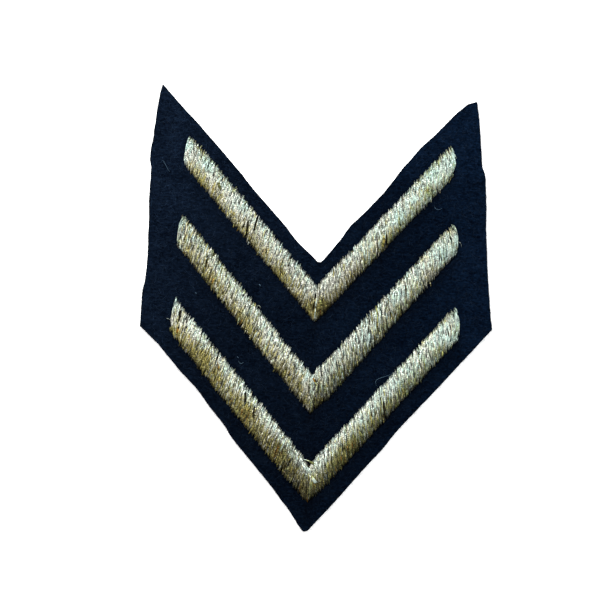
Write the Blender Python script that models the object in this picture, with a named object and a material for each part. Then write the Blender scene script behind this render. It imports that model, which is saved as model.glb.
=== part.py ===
"""Chevron stripe patch, lying face up, at its real size in metres.

One piece of dark wool felt is cut by hand to a V. Three V-shaped stripes of satin stitch in pale
metallic thread are sewn into it, one above the other, with their points down. +Y runs up the
patch from its bottom tip to its notch, +Z is out of its face, and the underside is at z = 0.
"""

import math
from collections import namedtuple

import bmesh
import bpy

# The stripes in plan. Across is along X, up is along Y.
ARM_REACH = 0.0355  # across, from a stripe's point to the outermost thread of its arm
ARM_ANGLE = 49.0  # degrees, how steeply an arm rises from its point
STRIPE_DEPTH = 0.0088  # up, from a stripe's lower edge to its upper edge
STRIPE_PITCH = 0.0222  # up, from one stripe's point to the next one's
HEEL_RUN = 0.005  # across, over which a lower edge sags away from straight

# The satin stitches. They stand upright at a stripe's point and lean over along its arms.
STITCH_LEAN = 17.0  # degrees from upright, along an arm
END_LEAN = 7.0  # degrees from upright, at an arm's end
LEAN_RUN = 0.009  # across, over which the stitches by a stripe's point lean over
END_RUN = 0.0045  # across, over which they stand up again towards an arm's end
END_BOW = 0.0007  # how far the last threads bulge outwards
BUNDLE_PITCH = 0.0013  # across, from one bundle of threads to the next
TOOTH_DEPTH = 0.00035  # how far a bundle's ends stand out past the dips beside it
RIB_HEIGHT = 0.00016  # how far a bundle's back stands above the dips beside it

# A stripe in section
EDGE_THICKNESS = 0.00045  # at its two long edges
CROWN_HEIGHT = 0.00075  # its middle, above those edges
END_CROWN = 0.55  # the crown at an arm's last thread, in CROWN_HEIGHT
CROWN_FULLNESS = 0.8  # 1 is half an ellipse, and less is squarer
CROWN_FACETS = 6  # faces over the crown, from one edge to the other

# The felt
FELT_THICKNESS = 0.0016
SEAT_DEPTH = 0.0006  # how far the stitching pulls the felt down
SEAT_PARTS = 6  # straight bits along each edge of a seat's arm
CLEARANCE = 0.0003  # between a stripe and its seat, all round and below
CHORD_TURN = 45.0  # degrees, about the turn between two chords round a seat's corner
TIP_MARGIN = 0.0080  # up, from the felt's lowest corner to the lowest stripe's point
NOTCH_MARGIN = 0.0057  # up, from the top stripe's inner corner to the notch
SIDE_MARGIN = 0.0072  # across, from an arm's last thread to the felt's side
CORNER_RADIUS = 0.001  # at a corner, where the scissors turned
CORNER_CHORDS = 4
CUT_WANDER = 0.001  # how far the scissors strayed from a straight cut
CUT_STEP = 0.0016  # length of one straight bit of the hand-cut edge
RIM_SOFTNESS = 0.0001  # how far the cut edge is worn round

SHARP_ANGLE = 40.0  # degrees between two faces, above which their edge shows as sharp

# One row a stripe. up is in STRIPE_PITCH above the lowest point, shift and inner_depth are in
# STRIPE_DEPTH.
Stripe = namedtuple("Stripe", "name up shift inner_depth left right")

# One row an arm. depth and sag are in STRIPE_DEPTH, reach is in ARM_REACH, tilt is degrees added
# to ARM_ANGLE, and lean is in STITCH_LEAN. sag is how far the lower edge hangs below straight.
# The left arms' stitches lean more than the right ones'.
Arm = namedtuple("Arm", "depth sag reach tilt lean")
STRIPES = (
    Stripe(
        "lower_stripe", 0.000, -0.011, 1.075,
        left=Arm(1.06, 0.05, 1.044, -0.7, 1.25),
        right=Arm(1.05, 0.09, 1.017, 1.3, 0.80),
    ),
    Stripe(
        "middle_stripe", 1.009, -0.068, 1.070,
        left=Arm(1.02, 0.01, 1.006, -0.3, 1.25),
        right=Arm(1.00, 0.20, 0.986, 1.5, 0.80),
    ),
    Stripe(
        "upper_stripe", 2.032, -0.057, 1.000,
        left=Arm(0.97, 0.00, 0.994, -1.6, 1.25),
        right=Arm(0.98, 0.00, 0.939, 0.5, 0.80),
    ),
)

# One row a corner of the felt, anticlockwise. It lies margin times SIDE_MARGIN past the end of
# the arm on its side, or off the middle. slip is how many degrees the felt's edge beside the
# stripe turns away from running parallel to it, and round is the corner's radius in
# CORNER_RADIUS.
Corner = namedtuple("Corner", "name side margin slip round")
CORNERS = (
    Corner("bottom_tip", 0, -0.04, 0.0, 1.15),
    Corner("right_corner", 1, 1.085, 0.35, 0.60),
    Corner("right_tip", 1, 0.60, -0.4, 0.35),
    Corner("notch", 0, -0.015, 0.0, 0.80),
    Corner("left_tip", -1, 0.808, -1.5, 0.15),
    Corner("left_corner", -1, 0.971, 0.15, 0.20),
)

# The hand-cut edge that follows each corner: how far along it, as a share, and how far it
# strays outwards there, in CUT_WANDER.
Stray = namedtuple("Stray", "share outwards")
CUTS = {
    "bottom_tip": (
        Stray(0.14, 0.10),
        Stray(0.34, -0.10),
        Stray(0.40, 0.00),
        Stray(0.49, -0.40),
        Stray(0.58, -0.30),
        Stray(0.72, -0.10),
    ),
    "right_corner": (
        Stray(0.06, -0.20),
        Stray(0.24, -0.20),
        Stray(0.38, 0.00),
        Stray(0.58, 0.60),
        Stray(0.68, 0.80),
        Stray(0.71, 0.15),
        Stray(0.90, 0.20),
    ),
    "right_tip": (
        Stray(0.02, 0.95),
        Stray(0.10, 1.45),
        Stray(0.24, 1.55),
        Stray(0.32, 1.90),
        Stray(0.42, 1.60),
        Stray(0.60, 0.75),
        Stray(0.68, 0.75),
        Stray(0.80, 1.00),
        Stray(0.88, 0.35),
    ),
    "notch": (
        Stray(0.12, -0.50),
        Stray(0.23, -0.20),
        Stray(0.42, -0.20),
        Stray(0.50, 0.10),
        Stray(0.76, 0.20),
        Stray(0.88, 0.00),
    ),
    "left_tip": (
        Stray(0.05, 0.50),
        Stray(0.12, 0.80),
        Stray(0.20, 1.00),
        Stray(0.28, 1.40),
        Stray(0.32, 1.35),
        Stray(0.345, 0.85),
        Stray(0.46, 0.70),
        Stray(0.58, 0.15),
        Stray(0.72, -0.30),
        Stray(0.80, -0.30),
        Stray(0.86, 0.20),
    ),
    "left_corner": (
        Stray(0.04, -0.35),
        Stray(0.10, -0.75),
        Stray(0.20, -0.85),
        Stray(0.34, -1.35),
        Stray(0.42, -1.10),
        Stray(0.50, -1.10),
        Stray(0.55, -0.65),
        Stray(0.78, -0.80),
        Stray(0.90, -0.60),
    ),
}


def smooth_share(value):
    """Eases 0 to 1 into and out of a change."""
    value = min(max(value, 0.0), 1.0)
    return value * value * (3.0 - 2.0 * value)


def stripe_point(stripe):
    """The stripe's lowest point, from the bottom tip."""
    return stripe.shift * STRIPE_DEPTH, TIP_MARGIN + stripe.up * STRIPE_PITCH


def arm_of(stripe, side):
    """The stripe's left arm, side -1, or its right arm, side 1."""
    return stripe.left if side < 0 else stripe.right


def rise_of(arm):
    """How far up the arm goes for each length across."""
    return math.tan(math.radians(ARM_ANGLE + arm.tilt))


def foot_reach_of(arm):
    """Across, from the stripe's point to the foot of the arm's last thread."""
    return arm.reach * ARM_REACH - END_BOW


def stitch_line(stripe, side, across):
    """The two ends of the stitch whose foot is that far across from the stripe's point.

    Returns (foot, head, endness), where endness goes from 0 along the arm to 1 at its end.
    """
    arm = arm_of(stripe, side)
    rise, last = rise_of(arm), foot_reach_of(arm)
    x, y = stripe_point(stripe)
    endness = smooth_share(1.0 - (last - across) / END_RUN)
    along = smooth_share(across / LEAN_RUN)
    lean = STITCH_LEAN * arm.lean
    lean = math.radians((lean + (END_LEAN - lean) * endness) * along)
    sag = arm.sag * smooth_share(across / HEEL_RUN) * (1.0 - across / last) * STRIPE_DEPTH
    depth = (stripe.inner_depth + (arm.depth - stripe.inner_depth) * along) * STRIPE_DEPTH
    length = (depth + sag) / (math.cos(lean) + rise * math.sin(lean))
    foot = (x + side * across, y + rise * across - sag)
    head = (foot[0] - side * length * math.sin(lean), foot[1] + length * math.cos(lean))
    return foot, head, endness


def arm_sections(stripe, side):
    """The arm's sections from the stripe's point to the arm's end, each a ring of points.

    They alternate between the back of a bundle of threads and the dip beside it.
    """
    foot_reach = foot_reach_of(arm_of(stripe, side))
    halves = 2 * max(round(foot_reach / BUNDLE_PITCH), 2)
    base = FELT_THICKNESS - SEAT_DEPTH + CLEARANCE
    rings = []
    for i in range(halves + 1):
        foot, head, endness = stitch_line(stripe, side, foot_reach * i / halves)
        swell = 0.5 if i % 2 == 0 else -0.5
        length = math.dist(foot, head)
        tooth = swell * TOOTH_DEPTH / length
        crown = (CROWN_HEIGHT + swell * RIB_HEIGHT) * (1.0 + (END_CROWN - 1.0) * endness)
        ring = [section_point(foot, head, 1.0 + tooth, 0.0, base)]
        for step in range(CROWN_FACETS + 1):
            turn = math.pi * step / CROWN_FACETS
            share = 0.5 + (0.5 + tooth) * math.cos(turn)
            bow = side * END_BOW * endness * math.sin(turn) ** 2
            height = base + EDGE_THICKNESS + crown * math.sin(turn) ** CROWN_FULLNESS
            ring.append(section_point(foot, head, share, bow, height))
        ring.append(section_point(foot, head, -tooth, 0.0, base))
        ring.append(section_point(foot, head, 0.5, side * END_BOW * endness, base))
        rings.append(ring)
    return rings


def section_point(foot, head, share, bow, height):
    """A point that share of the way from foot to head, pushed across by bow."""
    x = foot[0] + (head[0] - foot[0]) * share + bow
    y = foot[1] + (head[1] - foot[1]) * share
    return x, y, height


def loft(rings):
    """A closed body through rings of points: its end face is extruded from each to the next."""
    bm = bmesh.new()
    first = end = bm.faces.new([bm.verts.new(point) for point in rings[0]])
    for ring in rings[1:]:
        grown = bmesh.ops.extrude_face_region(bm, geom=[end])["geom"]
        if end is not first:
            bmesh.ops.delete(bm, geom=[end], context="FACES_ONLY")
        end = next(part for part in grown if isinstance(part, bmesh.types.BMFace))
        for vert, point in zip(end.verts, ring):
            vert.co = point
    bmesh.ops.recalc_face_normals(bm, faces=bm.faces)
    return bm


def prism(outline, low, high):
    """A closed body with that outline between two heights, and the edges of its two rims."""
    bm = bmesh.new()
    floor = bm.faces.new([bm.verts.new((x, y, low)) for x, y in outline])
    grown = bmesh.ops.extrude_face_region(bm, geom=[floor])["geom"]
    lifted = [part for part in grown if isinstance(part, bmesh.types.BMVert)]
    bmesh.ops.translate(bm, verts=lifted, vec=(0.0, 0.0, high - low))
    bmesh.ops.recalc_face_normals(bm, faces=bm.faces)
    rims = [edge for edge in bm.edges if abs(edge.verts[0].co.z - edge.verts[1].co.z) < 1e-9]
    return bm, rims


def grown_outline(outline, distance):
    """The anticlockwise outline moved outwards by distance, in short chords round its corners."""
    moved = []
    for i, here in enumerate(outline):
        first = outward_normal(outline[i - 1], here)
        second = outward_normal(here, outline[(i + 1) % len(outline)])
        start = math.atan2(first[1], first[0])
        turn = (math.atan2(second[1], second[0]) - start + math.pi) % (2 * math.pi) - math.pi
        chords = max(round(math.degrees(turn) / CHORD_TURN), 1)
        reach = distance / math.cos(turn / chords / 2)
        for k in range(chords):
            way = start + turn * (k + 0.5) / chords
            moved.append((here[0] + reach * math.cos(way), here[1] + reach * math.sin(way)))
    return moved


def outward_normal(start, end):
    """The unit vector to the right of the way from start to end."""
    length = math.dist(start, end)
    return (end[1] - start[1]) / length, (start[0] - end[0]) / length


def seat_outline(stripe):
    """The stripe's plain outline in plan, anticlockwise, clear of its teeth all round."""
    arms = {}
    for side in (-1, 1):
        foot_reach = foot_reach_of(arm_of(stripe, side))
        lines = [
            stitch_line(stripe, side, foot_reach * (i + 1) / SEAT_PARTS) for i in range(SEAT_PARTS)
        ]
        feet, heads = [line[0] for line in lines], [line[1] for line in lines]
        belly = section_point(feet[-1], heads[-1], 0.5, side * END_BOW, 0.0)[:2]
        arms[side] = feet + [belly] + heads[::-1]
    low, inner, _ = stitch_line(stripe, 1, 0.0)
    outline = [low] + arms[1] + [inner] + arms[-1][::-1]
    return grown_outline(outline, CLEARANCE + TOOTH_DEPTH / 2)


def felt_corner(corner):
    """Where two straight felt edges would meet, from the felt's lowest corner up."""
    lowest, highest = STRIPES[0], STRIPES[-1]
    notch_y = stripe_point(highest)[1] + highest.inner_depth * STRIPE_DEPTH + NOTCH_MARGIN
    x = corner.margin * SIDE_MARGIN
    if corner.name == "bottom_tip":
        return x, 0.0
    if corner.name == "notch":
        return x, notch_y
    is_tip = corner.name.endswith("tip")
    stripe = highest if is_tip else lowest
    arm = arm_of(stripe, corner.side)
    x = corner.side * (arm.reach * ARM_REACH + x) + stripe_point(stripe)[0]
    angle = math.radians(ARM_ANGLE + arm.tilt + corner.slip)
    return x, (notch_y if is_tip else 0.0) + abs(x) * math.tan(angle)


def rounded(before, corner, after, radius):
    """Points of an arc of that radius that replaces the corner between two straight edges."""
    toward = [(p[0] - corner[0], p[1] - corner[1]) for p in (before, after)]
    units = [(x / math.hypot(x, y), y / math.hypot(x, y)) for x, y in toward]
    half = 0.5 * math.acos(units[0][0] * units[1][0] + units[0][1] * units[1][1])
    run = radius / math.tan(half)
    middle = (units[0][0] + units[1][0], units[0][1] + units[1][1])
    scale = radius / math.sin(half) / math.hypot(*middle)
    centre = (corner[0] + middle[0] * scale, corner[1] + middle[1] * scale)
    start, end = [
        math.atan2(corner[1] + u[1] * run - centre[1], corner[0] + u[0] * run - centre[0])
        for u in units
    ]
    sweep = (end - start + math.pi) % (2 * math.pi) - math.pi
    turns = [start + sweep * i / CORNER_CHORDS for i in range(CORNER_CHORDS + 1)]
    return [(centre[0] + radius * math.cos(t), centre[1] + radius * math.sin(t)) for t in turns]


def wander(cuts, share):
    """The hand-cut edge's offset at that share of its length, eased between the table's rows."""
    rows = ((0.0, 0.0),) + cuts + ((1.0, 0.0),)
    for (low, first), (high, second) in zip(rows, rows[1:]):
        if share <= high:
            return first + (second - first) * smooth_share((share - low) / (high - low))
    return 0.0


def felt_outline():
    """The felt's hand-cut outline, anticlockwise from its bottom tip."""
    corners = [felt_corner(corner) for corner in CORNERS]
    after = corners[1:] + corners[:1]
    arcs = [
        rounded(corners[i - 1], corners[i], after[i], corner.round * CORNER_RADIUS)
        for i, corner in enumerate(CORNERS)
    ]
    outline = []
    for corner, arc, next_arc in zip(CORNERS, arcs, arcs[1:] + arcs[:1]):
        outline += arc + hand_cut(arc[-1], next_arc[0], CUTS[corner.name])
    return outline


def hand_cut(start, end, cuts):
    """The points of a hand-cut edge between two corners, without its ends."""
    outward = outward_normal(start, end)
    parts = max(round(math.dist(start, end) / CUT_STEP), 2)
    points = []
    for i in range(1, parts):
        share = i / parts
        offset = CUT_WANDER * wander(cuts, share)
        x = start[0] + (end[0] - start[0]) * share + outward[0] * offset
        y = start[1] + (end[1] - start[1]) * share + outward[1] * offset
        points.append((x, y))
    return points


def plain_material(name, colour, roughness, metallic):
    material = bpy.data.materials.new(name)
    material.use_nodes = True
    shader = material.node_tree.nodes["Principled BSDF"]
    shader.inputs["Base Color"].default_value = (*colour, 1.0)
    shader.inputs["Roughness"].default_value = roughness
    shader.inputs["Metallic"].default_value = metallic
    return material


def felt_material():
    """Dark navy wool felt."""
    return plain_material("navy_felt", (0.0045, 0.0095, 0.021), 0.95, 0.0)


def thread_material(name):
    """Pale silver-gold metallic thread."""
    return plain_material(name, (0.44, 0.45, 0.34), 0.42, 0.55)


def add_piece(name, bm, patch, material=None):
    """Makes an object from the bmesh, held by the patch. Without a material it is a cutter."""
    mesh = bpy.data.meshes.new(name)
    bm.to_mesh(mesh)
    bm.free()
    piece = bpy.data.objects.new(name, mesh)
    piece.parent = patch
    bpy.context.scene.collection.objects.link(piece)
    if material:
        mesh.materials.append(material)
        mesh.shade_smooth()
        mesh.set_sharp_from_angle(angle=math.radians(SHARP_ANGLE))
    else:
        piece.hide_render = True
        piece.display_type = "WIRE"
    return piece


def make_felt(patch, outline):
    """The hand-cut felt, with a seat pressed into it for each stripe."""
    bm, rims = prism(outline, 0.0, FELT_THICKNESS)
    bmesh.ops.bevel(
        bm, geom=rims, offset=RIM_SOFTNESS, segments=1, profile=0.5, affect="EDGES", material=-1
    )
    felt = add_piece("felt_backing", bm, patch, felt_material())
    for stripe in STRIPES:
        seat, _ = prism(seat_outline(stripe), FELT_THICKNESS - SEAT_DEPTH, FELT_THICKNESS * 2)
        cut = felt.modifiers.new(stripe.name + "_seat", "BOOLEAN")
        cut.operation = "DIFFERENCE"
        cut.object = add_piece(stripe.name + "_seat_cutter", seat, patch)


def make_stripe(patch, stripe):
    """One stripe of satin stitch, from the end of its left arm round its point to its right."""
    left, right = arm_sections(stripe, -1), arm_sections(stripe, 1)
    thread = thread_material(stripe.name + "_thread")
    add_piece(stripe.name, loft(left[::-1] + right[1:]), patch, thread)


def main():
    for old in list(bpy.data.objects):
        bpy.data.objects.remove(old)
    outline = felt_outline()
    across = [x for x, _ in outline]
    up = [y for _, y in outline]
    patch = bpy.data.objects.new("patch", None)
    patch.location = (-(min(across) + max(across)) / 2, -(min(up) + max(up)) / 2, 0.0)
    bpy.context.scene.collection.objects.link(patch)
    make_felt(patch, outline)
    for stripe in STRIPES:
        make_stripe(patch, stripe)


main()
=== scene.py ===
import math

import bmesh
import bpy
import numpy as np
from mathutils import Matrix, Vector, noise
from mathutils.bvhtree import BVHTree


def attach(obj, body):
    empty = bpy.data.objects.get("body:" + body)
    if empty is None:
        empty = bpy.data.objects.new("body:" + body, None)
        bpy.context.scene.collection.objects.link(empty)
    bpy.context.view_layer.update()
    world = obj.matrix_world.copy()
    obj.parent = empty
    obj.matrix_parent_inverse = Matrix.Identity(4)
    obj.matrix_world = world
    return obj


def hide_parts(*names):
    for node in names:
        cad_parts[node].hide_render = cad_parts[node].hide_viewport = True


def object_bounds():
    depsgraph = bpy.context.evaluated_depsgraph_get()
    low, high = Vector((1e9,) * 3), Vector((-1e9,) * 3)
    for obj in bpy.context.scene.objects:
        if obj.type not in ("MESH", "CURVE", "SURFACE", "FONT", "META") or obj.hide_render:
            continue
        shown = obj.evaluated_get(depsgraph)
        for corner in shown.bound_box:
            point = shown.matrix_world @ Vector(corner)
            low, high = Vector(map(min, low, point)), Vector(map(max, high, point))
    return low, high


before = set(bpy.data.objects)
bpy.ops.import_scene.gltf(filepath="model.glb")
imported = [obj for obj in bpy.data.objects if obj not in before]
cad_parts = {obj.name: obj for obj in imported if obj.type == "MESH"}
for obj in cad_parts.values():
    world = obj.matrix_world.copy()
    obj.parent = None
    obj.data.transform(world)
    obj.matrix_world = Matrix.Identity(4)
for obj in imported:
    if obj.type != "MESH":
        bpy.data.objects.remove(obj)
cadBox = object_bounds()  # before anything is added
noise.seed_set(11)  # noise_vector would start from the clock otherwise
print("frame loaded:", sorted(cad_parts))


class Wire:  # one output, so that shader maths is written as plain sums
    def __init__(self, finish, socket):
        self.finish = finish
        self.socket = socket

    def maths(self, operation, first, second):
        return self.finish.node("ShaderNodeMath", {"operation": operation}, {0: first, 1: second})

    def __add__(self, other):
        return self.maths("ADD", self, other)

    def __sub__(self, other):
        return self.maths("SUBTRACT", self, other)

    def __rsub__(self, other):
        return self.maths("SUBTRACT", other, self)

    def __mul__(self, other):
        return self.maths("MULTIPLY", self, other)

    __radd__ = __add__
    __rmul__ = __mul__

    def atLeast(self, other):
        return self.maths("MAXIMUM", self, other)

    def atMost(self, other):
        return self.maths("MINIMUM", self, other)

    def fraction(self):
        return self.maths("FRACT", self, 0)

    def size(self):
        return self.maths("ABSOLUTE", self, 0)

    def eased(self, low, high):  # 0 below low, 1 above high
        sockets = {"Value": self, "From Min": low, "From Max": high}
        return self.finish.node("ShaderNodeMapRange", {"interpolation_type": "SMOOTHSTEP"}, sockets)


class Finish:  # a material, and the nodes that feed its shader
    def __init__(self, name, **constants):
        self.material = bpy.data.materials.new(name)
        self.material.use_nodes = True
        self.tree = self.material.node_tree
        self.shader = self.tree.nodes["Principled BSDF"]
        for socket, value in constants.items():
            self.shader.inputs[socket.replace("_", " ")].default_value = value

    def node(self, kind, settings=None, sockets=None, output=0):
        made = self.tree.nodes.new(kind)
        for key, value in (settings or {}).items():
            if key == "stops":  # a ramp's positions and colours
                while len(made.color_ramp.elements) < len(value):
                    made.color_ramp.elements.new(1)
                for element, (place, colour) in zip(made.color_ramp.elements, value):
                    element.position = place
                    element.color = (*colour, 1)
            else:
                setattr(made, key, value)
        for key, value in (sockets or {}).items():
            self.feed(made.inputs[key], value)
        return Wire(self, made.outputs[output])

    def feed(self, socket, value):
        if isinstance(value, Wire):
            self.tree.links.new(value.socket, socket)
        elif isinstance(value, tuple) and len(value) == 3 and socket.type == "RGBA":
            socket.default_value = (*value, 1)
        else:
            socket.default_value = value

    def wear(self, **channels):  # the shader's own patterned inputs
        for socket, value in channels.items():
            self.feed(self.shader.inputs[socket.replace("_", " ")], value)

    def place(self):  # metres, on the object itself
        return self.node("ShaderNodeTexCoord", output=3)

    def stretched(self, turn, scale, moved=(0, 0, 0)):  # that place, turned, squeezed and moved
        sockets = {"Vector": self.place(), "Location": moved, "Rotation": turn, "Scale": scale}
        return self.node("ShaderNodeMapping", {"vector_type": "POINT"}, sockets)

    def cloudy(self, scale, detail=2, roughness=0.5, distortion=0, where=None):
        sockets = {"Vector": where or self.place(), "Scale": scale, "Detail": detail}
        sockets.update({"Roughness": roughness, "Distortion": distortion})
        return self.node("ShaderNodeTexNoise", {}, sockets)

    def ramp(self, value, stops):
        return self.node("ShaderNodeValToRGB", {"stops": stops}, {"Fac": value})

    def mixed(self, share, first, second, blend="MIX"):
        settings = {"data_type": "RGBA", "blend_type": blend}
        return self.node("ShaderNodeMix", settings, {0: share, 6: first, 7: second}, output=2)

    def times(self, colour, factor):
        return self.mixed(1, colour, factor, blend="MULTIPLY")

    def attribute(self, name):
        return self.node("ShaderNodeAttribute", {"attribute_name": name})

    def parts(self, value, kind="Color"):  # the three numbers in a colour, or with XYZ in a place
        split = self.tree.nodes.new("ShaderNodeSeparate" + kind)
        self.feed(split.inputs[0], value)
        return [Wire(self, out) for out in split.outputs]

    def bump(self, height, distance):
        return self.node("ShaderNodeBump", {}, {"Height": height, "Distance": distance})


# The part's own lengths and angles, in metres and degrees. The stitches lean a little less than its ribs.
stitching = {
    "bottomTip": (0.0001779, -0.0554789),  # where the felt's two lowest cuts would meet
    "armReach": 0.0355, "armAngle": 49, "barDepth": 0.0088, "barPitch": 0.0222, "heelRun": 0.005,
    "stitchLean": 17, "endLean": 7, "leanRun": 0.0045, "depthRun": 0.009, "endRun": 0.0045,
    "endBow": 0.0007, "tipMargin": 0.008,
    "base": 0.0013,  # height of a bar's underside
    "edge": 0.00045, "crown": 0.00075, "endCrown": 0.55,
}

# A bar is how far up and aside its point is, its depth there, and in metres the notch in its heads there.
# An arm is its depth, sag, reach, tilt in degrees, and lean. The rest are shares of the lengths above.
bars = {
    "lower_stripe": {
        "up": 0, "shift": -0.011, "innerDepth": 1.075, "notch": 0.001,
        "left": (1.06, 0.05, 1.044, -0.7, 0.95), "right": (1.05, 0.09, 1.017, 1.3, 0.56),
    },
    "middle_stripe": {
        "up": 1.009, "shift": -0.068, "innerDepth": 1.07, "notch": 0.0003,
        "left": (1.02, 0.01, 1.006, -0.3, 0.95), "right": (1, 0.2, 0.986, 1.5, 0.56),
    },
    "upper_stripe": {
        "up": 2.032, "shift": -0.057, "innerDepth": 1, "notch": 0,
        "left": (0.97, 0, 0.994, -1.6, 0.92), "right": (0.98, 0, 0.939, 0.5, 0.35),
    },
}


def eased(value):
    value = np.clip(value, 0, 1)
    return value * value * (3 - 2 * value)


def rising(value, start, run):  # from 0 at start to 1 a run further on
    return eased((value - start) / run)


def unit(vectors):
    return vectors / np.maximum(np.linalg.norm(vectors, axis=-1, keepdims=True), 1e-9)


def hill(value):  # 1 at 0, and soon 0 to both sides
    return np.exp(-(value**2))


def scaled(value, factor, share):  # factor times as much where share is 1, unchanged where it is 0
    return value * (1 + (factor - 1) * share)


def arm(bar, side):  # side is -1 on the left and 1 on the right
    return bar["left" if side < 0 else "right"]


def barPoint(bar):
    x, y = stitching["bottomTip"]
    y = y + stitching["tipMargin"] + bar["up"] * stitching["barPitch"]
    return x + bar["shift"] * stitching["barDepth"], y


def armRun(bar, side):  # across, from the bar's point to the foot of the arm's last stitch
    return arm(bar, side)[2] * stitching["armReach"] - stitching["endBow"]


# Feet and heads of the stitches that start that far across from the bar's point.
def stitchLines(bar, side, across):
    s = stitching
    depthShare, sagShare, _, tilt, leanShare = arm(bar, side)
    rise, last = math.tan(math.radians(s["armAngle"] + tilt)), armRun(bar, side)
    x, y = barPoint(bar)
    endness = eased(1 - (last - across) / s["endRun"])
    lean = s["stitchLean"] * leanShare
    lean = np.radians((lean + (s["endLean"] - lean) * endness) * eased(across / s["leanRun"]))
    sag = sagShare * eased(across / s["heelRun"]) * (1 - across / last) * s["barDepth"]
    depth = bar["innerDepth"] + (depthShare - bar["innerDepth"]) * eased(across / s["depthRun"])
    depth = depth * s["barDepth"]
    length = (depth + sag) / (np.cos(lean) + rise * np.sin(lean))
    foot = np.stack([x + side * across, y + rise * across - sag], -1)
    head = foot + np.stack([-side * np.sin(lean), np.cos(lean)], -1) * length[..., None]
    return foot, head, endness


# A mesh opened for editing. join joins the corners that its faces repeat.
def openMesh(source, join=False):
    bm = bmesh.new()
    bm.from_mesh(source)
    if join:
        bmesh.ops.remove_doubles(bm, verts=bm.verts[:], dist=1e-6)
    return bm


def closeMesh(bm, name):
    mesh = bpy.data.meshes.new(name)
    bm.to_mesh(mesh)
    bm.free()
    return mesh


# One short closed tube, with the two maps that every thread wears.
def thinTube(name, sides, joints):
    bm = bmesh.new()
    bmesh.ops.create_circle(bm, cap_ends=True, segments=sides, radius=1)
    first = end = bm.faces[:][0]
    for _ in range(joints - 1):
        grown = bmesh.ops.extrude_face_region(bm, geom=[end])["geom"]
        if end is not first:
            bmesh.ops.delete(bm, geom=[end], context="FACES_ONLY")
        end = next(part for part in grown if isinstance(part, bmesh.types.BMFace))
        bmesh.ops.translate(bm, verts=end.verts[:], vec=(0, 0, 1))
    bmesh.ops.recalc_face_normals(bm, faces=bm.faces[:])
    lay = bm.loops.layers.uv.new("threadLay")  # round the thread, and along it
    bm.loops.layers.uv.new("OFBake")
    for face in bm.faces:
        turns = [math.atan2(c.vert.co.y, c.vert.co.x) / math.tau % 1 for c in face.loops]
        turns = [t + 1 if max(turns) - t > 0.5 and len(face.verts) == 4 else t for t in turns]
        for corner, turn in zip(face.loops, turns):
            corner[lay].uv = (turn, corner.vert.co.z / (joints - 1))
    return closeMesh(bm, name)


def numbersOf(items, key, width):
    found = np.empty(len(items) * width, dtype=np.float32)
    items.foreach_get(key, found)
    return found.reshape(-1, width)


def setNumbers(items, key, values):
    items.foreach_set(key, values.astype(np.float32).ravel())


def tintPoints(mesh, name, tints):  # a colour for each of the mesh's points
    colours = np.append(tints, np.ones((*tints.shape[:-1], 1)), axis=-1)
    setNumbers(mesh.attributes.new(name, "FLOAT_COLOR", "POINT").data, "color", colours)


def link(thing):
    bpy.context.scene.collection.objects.link(thing)
    return thing


def addPiece(name, mesh):
    mesh.shade_smooth()
    return link(bpy.data.objects.new(name, mesh))


# Each tube has a narrow cell of the baked picture.
bakeCells = {
    "shape": 2.5,  # height to width
    "start": (0.1, 0.03), "fill": (0.8, 0.94),
    "widest": 1.2,  # turns, where a tube's last side ends
}


# paths is tubes x joints x 3 in metres, radii is tubes x joints, tints is tubes x joints x 3.
def layTubes(name, paths, radii, tints, sides=5, flatness=1):
    count, joints, _ = paths.shape
    tube = link(bpy.data.objects.new(name + "_one", thinTube(name + "_one", sides, joints)))
    one = numbersOf(tube.data.vertices, "co", 3)
    oneLay = numbersOf(tube.data.uv_layers["threadLay"].data, "uv", 2)
    row = tube.modifiers.new("row", "ARRAY")
    row.count, row.use_relative_offset, row.use_constant_offset = count, False, True
    row.constant_offset_displace = (3, 0, 0)
    bpy.context.view_layer.update()
    mesh = bpy.data.meshes.new_from_object(tube.evaluated_get(bpy.context.evaluated_depsgraph_get()))
    mesh.name = name
    bpy.data.objects.remove(tube)

    # every copy is bent along its own path
    ahead = unit(np.gradient(paths, axis=1))
    beside = unit(np.cross(ahead, np.array([0, 0, 1])))
    over = np.cross(beside, ahead)
    ring = np.rint(one[:, 2]).astype(int)
    turn = np.arctan2(one[:, 1], one[:, 0])
    out = beside[:, ring] * np.cos(turn)[:, None] + over[:, ring] * np.sin(turn)[:, None] * flatness
    setNumbers(mesh.vertices, "co", paths[:, ring] + out * radii[:, ring, None])
    tintPoints(mesh, "threadTint", tints[:, ring])

    run = np.linalg.norm(np.diff(paths, axis=1), axis=2).sum(axis=1)
    start = np.random.default_rng(5).random(count)  # so that no two twists line up
    lay = np.repeat(oneLay[None], count, axis=0)
    lay[:, :, 1] = lay[:, :, 1] * run[:, None] * 1000 + start[:, None] * 7
    setNumbers(mesh.uv_layers["threadLay"].data, "uv", lay)
    columns = max(int(math.sqrt(count * bakeCells["shape"])), 1)
    cell = np.arange(count)[:, None]
    (startU, startV), (fillU, fillV) = bakeCells["start"], bakeCells["fill"]
    bake = np.repeat(oneLay[None], count, axis=0)
    bake[:, :, 0] = (cell % columns + startU + fillU * bake[:, :, 0] / bakeCells["widest"]) / columns
    bake[:, :, 1] = (cell // columns + startV + fillV * bake[:, :, 1]) / math.ceil(count / columns)
    setNumbers(mesh.uv_layers["OFBake"].data, "uv", bake)
    mesh.update()
    return addPiece(name, mesh)


def dress(piece, finish):
    piece.data.materials.clear()
    piece.data.materials.append(finish.material)
    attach(piece, "root")
    return piece


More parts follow.
